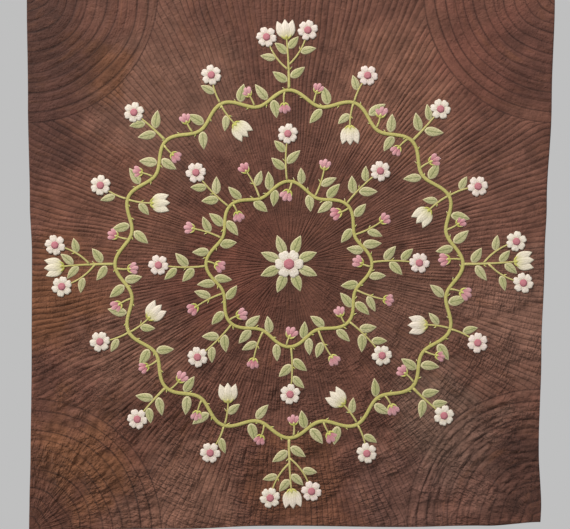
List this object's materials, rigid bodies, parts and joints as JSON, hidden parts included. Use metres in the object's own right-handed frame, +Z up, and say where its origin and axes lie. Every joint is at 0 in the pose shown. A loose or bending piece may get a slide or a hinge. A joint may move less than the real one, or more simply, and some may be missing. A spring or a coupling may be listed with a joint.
{
  "type": "quilt",
  "caption": "Filled whole-cloth quilt that hangs flat, with rayed quilting, fans in its corners and sewn-on rings of stems, leaves and flowers.",
  "frame": {"origin": "middle of the top edge, in the plane of the back", "axes": "+Z up along the quilt's height, +X to the right as seen from the front, -Y out of the face, +Y into the wall"},
  "size_m": [1.853, 0.0238, 1.887],
  "materials": {
    "plum_cotton": "hand-dyed plum brown cotton, matt, quilted",
    "lime_cotton": "yellow-green cotton, matt",
    "sage_cotton": "pale sage cotton, matt",
    "cream_cotton": "off-white cotton, matt",
    "rose_cotton": "rose pink cotton, matt"
  },
  "bodies": {
    "root": {"quilt": "plum_cotton", "daisy_01": "cream_cotton", "daisy_02": "cream_cotton", "daisy_03": "cream_cotton", "daisy_04": "cream_cotton", "daisy_05": "cream_cotton", "daisy_06": "cream_cotton", "daisy_07": "cream_cotton", "daisy_08": "cream_cotton", "daisy_09": "cream_cotton", "daisy_10": "cream_cotton", "daisy_11": "cream_cotton", "daisy_12": "cream_cotton", "daisy_13": "cream_cotton", "daisy_14": "cream_cotton", "daisy_15": "cream_cotton", "daisy_16": "cream_cotton", "daisy_17": "cream_cotton", "daisy_18": "cream_cotton", "daisy_19": "cream_cotton", "daisy_20": "cream_cotton", "daisy_21": "cream_cotton", "daisy_22": "cream_cotton", "daisy_23": "cream_cotton", "daisy_24": "cream_cotton", "daisy_25": "cream_cotton", "daisy_26": "cream_cotton", "daisy_27": "cream_cotton", "daisy_28": "cream_cotton", "rosette": "cream_cotton", "rosette_heart": "rose_cotton", "rosette_leaves": "sage_cotton", "spray_1": "lime_cotton", "spray_2": "lime_cotton", "spray_3": "lime_cotton", "spray_4": "lime_cotton", "spray_5": "lime_cotton", "spray_6": "lime_cotton", "spray_7": "lime_cotton", "spray_8": "lime_cotton", "tulip_01": "cream_cotton", "tulip_02": "cream_cotton", "tulip_03": "cream_cotton", "tulip_04": "cream_cotton", "tulip_05": "cream_cotton", "tulip_06": "cream_cotton", "tulip_07": "cream_cotton", "tulip_08": "cream_cotton", "tulip_09": "cream_cotton", "tulip_10": "cream_cotton", "tulip_11": "cream_cotton", "tulip_12": "cream_cotton", "vine_inner": "lime_cotton", "vine_outer": "lime_cotton"}
  },
  "joints": []
}
